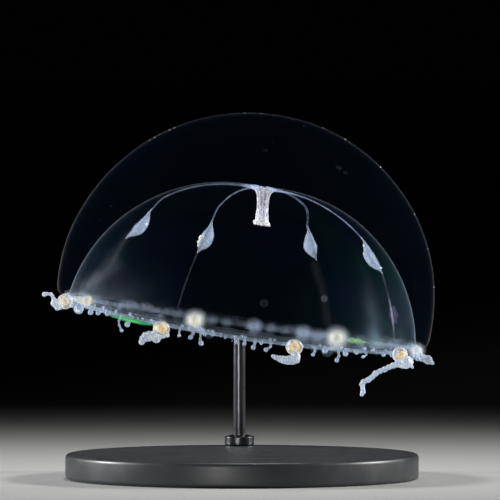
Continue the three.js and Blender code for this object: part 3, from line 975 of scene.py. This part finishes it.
def add_far_haze(clay):
    chance = random.Random(29)
    for _ in range(110):
        turn, size = chance.uniform(192, 348), chance.uniform(0.18, 0.36)
        level = CORD_LINE + chance.gauss(0.1, 0.08)
        density = 0.065 * (1 - 0.85 * spot_share(turn, BACK_TURN, 20))
        clay.ball(on_cord(turn, level), size, thinned(FAR_BUD, density, -1))


def add_violet(clay):
    """The violet tint on the lower part of the first canal."""
    for height, size in ((1.6, 0.2), (2, 0.34), (2.4, 0.24)):
        elevation = degrees(asin(height / LOW_WALL))
        spot = on_wall(canal_turn(1, elevation) - 1.2, elevation, CANAL_OFF)
        for share in (1, 0.7, 0.4):
            clay.ball(spot, size * share, VIOLET_GLOW)


def add_green_sheen(clay):
    """A slim body of painted green sheen per patch; the near one has a brighter one at its middle.
    """
    for middle, half, level, size in GREEN_SHEEN_PATCHES:
        far = on_far_side(middle)
        for away, share, paint in ((0.08, 1, GREEN_SHEEN), (0.16, 0.55, BRIGHT_GREEN_SHEEN)):
            places, sizes = [], []
            for i in range(41):
                t = 2 * i / 40 - 1
                places.append(on_cord(middle + half * t * share, level, away))
                full = cos(pi * t / 2) ** 0.8 * (1 - 0.4 * t if far else 1)
                sizes.append((0.01 + size * share * full) * (1 + 0.15 * sin(9 * t)))
            clay.tube(places, sizes, PALE_GREEN_SHEEN if far else paint)


def make_lines():
    """The fine rings at the margin, and the glows, haze and patches of painted green sheen beside
    them.
    """
    clay = Clay()
    for radius, level, thickness, density in MARGIN_LINES:
        ring_tube(clay, radius, level, thickness, (0.7, 0.8, 0.92, density, 0), patches=1)
    add_glows(clay)
    add_bands(clay)
    add_far_haze(clay)
    add_violet(clay)
    add_green_sheen(clay)
    material = flesh_material("line", 0.4, 0.3, 0.4)
    finish_animal(clay.plain("margin_lines"), material, [])


def bulb_centre(number):
    right, up = BULB_SHIFTS[number - 1]
    centre = soften(around(BULB_ANGLES[number - 1], BULB_RING, BULB_LEVEL))
    return centre + Vector((right, 0, up))


def add_bulb(clay, number, chance):
    """A see-through swelling with small shoulders along the margin."""
    centre = bulb_centre(number)
    turn = radians(BULB_ANGLES[number - 1])
    stretch = Matrix.Rotation(-turn, 4, "Z") @ Matrix.Diagonal((0.93, 1.04, 0.95, 1))
    if number in FAR_BULBS:
        clay.ball(centre, *FAR_BULBS[number][:2], 0, stretch)
        return
    clay.ball(centre, BULB_RADIUS + 0.04, SHELL, 0.01, stretch)
    for side in (-1, 1):
        shoulder = centre + Vector((sin(turn), cos(turn), 0)) * side * 0.42
        shoulder.z += 0.14
        clay.lump(chance, shoulder, 0.14, BUD, 3, (0.3, 0.5))
    for _ in range(6):
        spot = centre + random_way(chance) * 0.45
        clay.ball(spot, chance.uniform(0.03, 0.06), BRIGHT, 0.01)


# ---- the tentacles ----

# Each is a list of lumps: the way right, back and up from the bulb's centre, and the size.
TENTACLES = [
    [  # long
        (0.88, -0.2, -0.64, 0.12), (0.7, -0.18, -0.5, 0.15), (0.42, -0.2, -0.38, 0.54),
        (0.26, -0.26, -0.5, 0.36), (0.08, -0.3, -0.54, 0.28), (-0.12, -0.34, -0.6, 0.25),
        (-0.34, -0.42, -0.7, 0.24), (-0.58, -0.5, -0.84, 0.22), (-0.84, -0.6, -1.02, 0.24),
        (-1.1, -0.7, -1.16, 0.22), (-1.36, -0.8, -1.36, 0.24), (-1.56, -0.9, -1.62, 0.21),
        (-1.76, -0.98, -1.8, 0.23), (-2.02, -1.06, -1.94, 0.21), (-2.1, -1.1, -2.14, 0.22),
        (-2.02, -1.12, -2.36, 0.19), (-1.96, -1.15, -2.56, 0.2), (-2.02, -1.2, -2.76, 0.16),
    ],
    [  # a crescent
        (0.14, -0.15, -0.36, 0.28), (0.22, -0.2, -0.52, 0.3), (0.18, -0.22, -0.7, 0.36),
        (0, -0.2, -0.78, 0.38), (-0.24, -0.18, -0.84, 0.36), (-0.5, -0.14, -0.86, 0.32),
        (-0.76, -0.1, -0.85, 0.26), (-1, -0.05, -0.8, 0.21), (-1.22, 0, -0.74, 0.16),
    ],
    [  # lumpy
        (0.14, -0.15, -0.36, 0.28), (0.4, -0.2, -0.3, 0.2), (-0.14, -0.2, -0.42, 0.36),
        (-0.4, -0.28, -0.44, 0.36), (-0.22, -0.3, -0.66, 0.32), (-0.68, -0.28, -0.46, 0.32),
        (-0.9, -0.24, -0.56, 0.3), (-0.66, -0.26, -0.68, 0.24), (-1.04, -0.22, -0.78, 0.28),
        (-1.08, -0.2, -0.96, 0.24),
    ],
    [  # curled up
        (-0.3, -0.1, -0.2, 0.28), (-0.52, -0.15, -0.16, 0.3), (-0.66, -0.18, -0.2, 0.3),
        (-0.42, -0.2, -0.44, 0.24), (-0.72, -0.18, 0.02, 0.2), (-0.84, -0.16, 0.2, 0.15),
        (-0.98, -0.14, 0.32, 0.16), (-1.2, -0.12, 0.3, 0.15), (-1.38, -0.08, 0.24, 0.19),
    ],
    [  # a long blob
        (-0.26, 0.08, 0, 0.38), (-0.48, 0.15, 0.02, 0.33), (-0.7, 0.22, 0.02, 0.27),
        (-0.9, 0.28, 0, 0.2),
    ],
    [  # a hook
        (0.16, 0.2, -0.3, 0.26), (0.36, 0.4, -0.5, 0.24), (0.58, 0.54, -0.66, 0.22),
        (0.76, 0.58, -0.8, 0.18),
    ],
    [  # tucked in
        (0.06, 0.3, -0.36, 0.28), (0.02, 0.54, -0.56, 0.25), (-0.14, 0.68, -0.66, 0.22),
        (-0.32, 0.74, -0.72, 0.17),
    ],
    [  # a stub
        (0.2, 0.04, -0.26, 0.24), (0.4, 0.08, -0.38, 0.32), (0.58, 0.12, -0.42, 0.3),
        (0.76, 0.15, -0.44, 0.37), (0.92, 0.2, -0.54, 0.22), (1.08, 0.22, -0.62, 0.15),
    ],
]
DIMMER = {2: 0.85, 3: 0.68, 5: 0.7, 8: 0.6}  # of the density of some tentacles


def add_tentacle(clay, number, chance):
    """A knobbly strand along its lumps, with grains all over it."""
    root = bulb_centre(number)
    lumps = [(root + Vector(lump[:3]), lump[3]) for lump in TENTACLES[number - 1]]
    core = curve_points([root, *[place for place, _ in lumps]], 0.13)
    sizes = [min(lumps, key=lambda lump: (lump[0] - place).length)[1] for place in core]
    paint = {5: FAR_SHELL, 6: FAR_BUD, 7: FAR_BUD}.get(number, FLESH)
    paint = thinned(paint, paint[3] * DIMMER.get(number, 1))
    add_chain(clay, chance, core, [0.62 * size for size in sizes], paint)
    for place, size in lumps:
        near = 0 if number in FAR_BULBS else exp(-(place - root).length / 0.5)
        light = blend(paint, (*BRIGHT[:4], paint[4]), near)
        clay.lump(chance, place, size * 0.8, light, 0 if number in FAR_BULBS else 6, (0.2, 0.35))


def make_flesh():
    clay = Clay()
    add_manubrium(clay)
    for number in range(1, len(CANAL_ANGLES) + 1):
        add_canal(clay, number)
        add_gonad(clay, number)
    add_margin(clay)
    chance = random.Random(41)
    for number in range(1, len(BULB_ANGLES) + 1):
        add_bulb(clay, number, chance)
        add_tentacle(clay, number, chance)
    voxel = 0.032
    material = flesh_material("flesh", 0.45, 0.3, 0.35, (7000, 0.12, 0.00002))
    others = ("bell", "velum", "stand_")
    nodes = [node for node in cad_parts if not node.startswith(others)]
    finish_animal(clay.fired("flesh_skin", voxel, 2), material, nodes)


# Width and height of the cores of the nearer bulbs.
CORE_SIZES = [(0.32, 0.28), (0.32, 0.3), (0.42, 0.28), (0.32, 0.3)]


def make_cores():
    """The ochre grains inside the nearer bulbs, seen through their skin."""
    chance = random.Random(17)
    clay = Clay()
    for number, (wide, tall) in enumerate(CORE_SIZES, 1):
        centre = bulb_centre(number)
        middle = centre + Vector((centre.x, centre.y, 0)).normalized() * 0.08
        paint = CREAM if number == 4 else OCHRE
        stretch = Matrix.Diagonal((wide, 0.27, tall, 1))
        clay.ball(middle, 1, paint, 0.015, stretch)
        for _ in range(10):
            spot = middle + stretch.to_3x3() @ random_way(chance) * 0.7
            other = [c * chance.uniform(0.85, 1.05) for c in paint[:3]]
            clay.ball(spot, chance.uniform(0.06, 0.1), (*other, *paint[3:]), 0.01)
    material = flesh_material("ochre", 0.5, 0.3, 0.2, (9000, 0.2, 0.00002))
    finish_animal(clay.fired("bulb_cores", 0.035, 1), material, [])


# ---- the stand ----


def turned_piece(name, profile, centre, turns):
    """A solid of revolution about a vertical axis, from radius and height in metres."""
    points = []
    for radius, z in profile:
        for c in range(turns):
            angle = 2 * pi * c / turns
            points.append((centre.x + radius * cos(angle), centre.y + radius * sin(angle), z))
    return link(name, weld(new_mesh(name, points, grid_faces(len(profile), turns)), 1e-7))


def rounded(corners, radius):
    """A profile with its inner corners rounded; the first and last points stay."""
    made = [Vector(corners[0])]
    for before, corner, after in zip(corners, corners[1:], corners[2:]):
        corner = Vector(corner)
        back = (Vector(before) - corner).normalized() * radius
        ahead = (Vector(after) - corner).normalized() * radius
        for i in range(6):
            t = i / 5
            made.append(corner + back * (1 - t) ** 2 + ahead * t**2)
    made.append(Vector(corners[-1]))
    return [tuple(p) for p in made]


def turned_box(node):
    """The middle, the radius and the lowest and highest z of a round node."""
    low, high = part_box(node)
    return (low + high) / 2, (high.x - low.x) / 2, low.z, high.z


def make_stand():
    black = black_material("satin_black", (0.03, 0.032, 0.036), 0.4)
    matte = black_material("matte_black", (0.002, 0.002, 0.002), 0.9, 0.02)
    steel = brushed_steel()
    middle, radius, low, high = turned_box("stand_base")
    corners = [(0, low), (radius, low), (radius, high), (0, high)]
    base = turned_piece("stand_base_turned", rounded(corners, 0.00028), middle, 192)
    finish_piece(base, black, ["stand_base"])
    _, radius, low, high = turned_box("stand_collar")
    middle, bore, rod_low, rod_high = turned_box("stand_rod")
    corners = [(bore, low), (radius, low), (radius, high - 0.0001)]
    corners += [(bore + 0.00012, high), (bore, high), (bore, low)]
    collar = turned_piece("stand_collar_turned", rounded(corners, 0.00006), middle, 96)
    finish_piece(collar, steel, ["stand_collar"])
    corners = [(0, rod_low), (bore, rod_low), (bore, rod_high), (0, rod_high)]
    rod = turned_piece("stand_rod_turned", rounded(corners, 0.00005), middle, 64)
    finish_piece(rod, steel, ["stand_rod"])
    finish_piece(make_clip(), matte, ["stand_clip"])


def make_clip():
    """A small angle along the rim, banked with it: a seat below and a wall behind."""
    low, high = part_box("stand_clip")
    thin, long, tall, edge = 0.00022, 0.0012, 0.00095, 0.00005
    reach = (high.y - low.y) / 2 - edge
    corners = [(-reach, 0), (reach, 0), (reach, tall), (reach - thin, tall)]
    corners += [(reach - thin, thin), (-reach, thin)]
    points = [(x, y, z) for x in (-long / 2, long / 2) for y, z in corners]
    faces = [*grid_faces(2, 6), range(6), range(6, 12)]
    mesh = weld(new_mesh("stand_clip_formed", points, faces), 1e-7, edge)
    foot = Vector(((low.x + high.x) / 2, (low.y + high.y) / 2, low.z + 0.00026))
    mesh.transform(Matrix.Translation(foot) @ Matrix.Rotation(BANK, 4, "Y"))
    return link(mesh.name, mesh)


# ---- stage, lights and camera ----

FLOOR_RADIUS = 3
FLOOR_COLOUR = (0.42, 0.42, 0.412)
PHOTO_PIXELS = 500
PIXELS_PER_MM = 15.83
MARGIN_PIXEL = (242, 322)  # where the margin's centre is seen, across and down
LENS = 600
SENSOR = 36
CAMERA_RISE = radians(1.6)


def make_floor():
    bm = bmesh.new()
    bmesh.ops.create_circle(bm, cap_ends=True, segments=96, radius=FLOOR_RADIUS)
    mesh = bpy.data.meshes.new("floor")
    bm.to_mesh(mesh)
    bm.free()
    n = Nodes("floor")
    dark = [c * 0.985 for c in FLOOR_COLOUR] + [1]
    tone = n.mix_colour(n.noise(300), dark, [*FLOOR_COLOUR, 1])
    look = {"Base_Color": tone, "Roughness": 0.85, "Specular_IOR_Level": 0.1}
    mesh.materials.append(n.surface(n.add("BsdfPrincipled", **look)))
    floor = link("floor", mesh)


def add_spot(name, place, watts, cone, softness, colour=(1, 1, 1), aim=(0, 0, 0.012)):
    light = bpy.data.lights.new(name, "SPOT")
    light.energy = watts
    light.spot_size = radians(cone)
    light.spot_blend = 1
    light.shadow_soft_size = softness
    light.color = colour
    obj = link(name, light)
    obj.location = place
    obj.rotation_euler = (Vector(aim) - obj.location).to_track_quat("-Z", "Y").to_euler()


def make_lights():
    add_spot("top", (0.02, 0.03, 0.33), 2, 26, 0.04)
    add_spot("left", (-0.3, 0.06, 0.1), 6.4, 20, 0.03, (0.97, 0.99, 1))
    add_spot("right", (0.3, 0.05, 0.12), 6, 20, 0.03, (1, 0.99, 0.97))
    add_spot("front", (-0.09, -0.33, 0.009), 9, 10, 0.04, aim=(0, 0, 0.0135))
    world = bpy.data.worlds.new("studio")
    bpy.context.scene.world = world
    world.use_nodes = True
    background = world.node_tree.nodes["Background"]
    background.inputs["Color"].default_value = (0.55, 0.6, 0.7, 1)
    background.inputs["Strength"].default_value = 0.0008


def make_camera():
    """Sees the margin's centre at its pixel of the photograph's frame, at its scale."""
    width = PHOTO_PIXELS / PIXELS_PER_MM * MM
    distance = width * LENS / SENSOR
    margin = Vector((0, -SET_FORWARD, MARGIN_HEIGHT)) * MM
    right, down = [(PHOTO_PIXELS / 2 - pixel) / PIXELS_PER_MM * MM for pixel in MARGIN_PIXEL]
    rise = Vector((0, sin(CAMERA_RISE), cos(CAMERA_RISE)))
    aim = margin + Vector((right, 0, 0)) - rise * down
    data = bpy.data.cameras.new("camera")
    data.lens = LENS
    data.sensor_width = SENSOR
    data.clip_start = 0.005
    data.clip_end = 10
    camera = link("camera", data)
    camera.location = aim + Vector((0, -cos(CAMERA_RISE), sin(CAMERA_RISE))) * distance
    camera.rotation_euler = (aim - camera.location).to_track_quat("-Z", "Y").to_euler()
    bpy.context.scene.camera = camera


make_camera()
make_floor()
make_lights()
make_bell()
make_specks()
make_velum()
make_lines()
make_flesh()
make_cores()
make_stand()
scene = bpy.context.scene
scene.cycles.transparent_max_bounces = 64
scene.view_settings.view_transform = "Standard"
